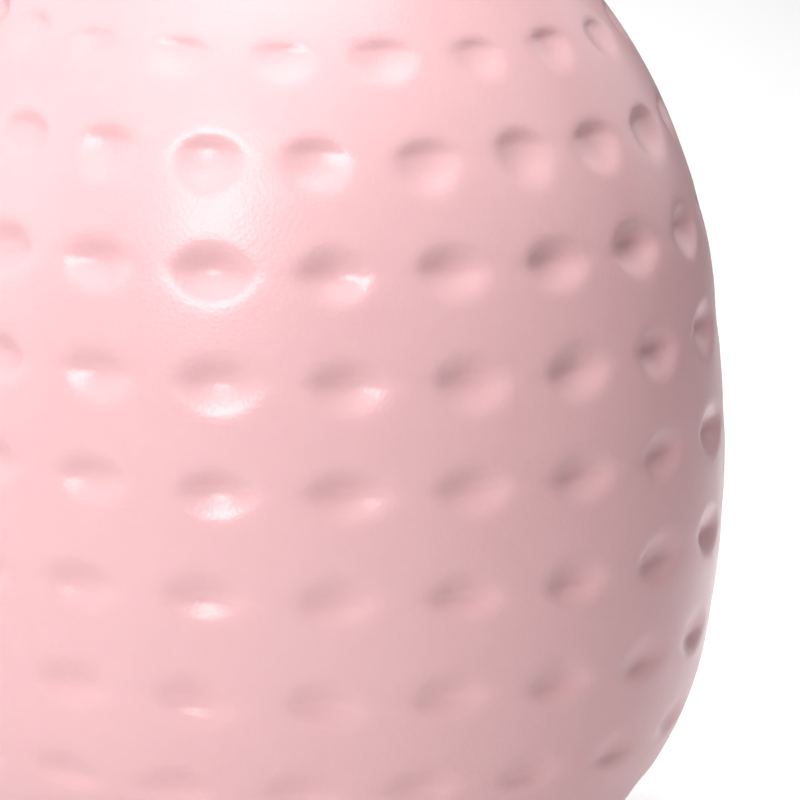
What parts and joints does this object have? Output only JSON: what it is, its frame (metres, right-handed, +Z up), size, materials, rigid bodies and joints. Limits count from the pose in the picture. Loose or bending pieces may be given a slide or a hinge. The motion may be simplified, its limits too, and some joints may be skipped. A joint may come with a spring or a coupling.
{
  "type": "egg-shaped exercise ball",
  "caption": "Egg-shaped inflatable exercise ball with a soft dimpled skin, a moulded valve seat in its top and a pull-out stopper; stands on its blunt end.",
  "frame": {"origin": "centre of the flat that the ball stands on, on its long axis", "axes": "+Z up along the long axis towards the narrow end and the valve; +X towards the fingernail notch beside the stopper; +Y completes the right-handed frame"},
  "size_m": [0.23, 0.23, 0.2912],
  "materials": {
    "skin_pink": "satin, fine leathery grain",
    "seat_pink": "satin",
    "stopper_white": "semi-matte moulded"
  },
  "bodies": {
    "ball": {"ball_skin": "skin_pink", "valve_seat": "seat_pink"},
    "stopper": {"valve_stopper": "stopper_white"}
  },
  "joints": [
    {"name": "stopper_pull", "type": "slide", "parent": "ball", "child": "stopper", "axis": [0, 0, 1], "range_m": [0, 0.018]}
  ]
}
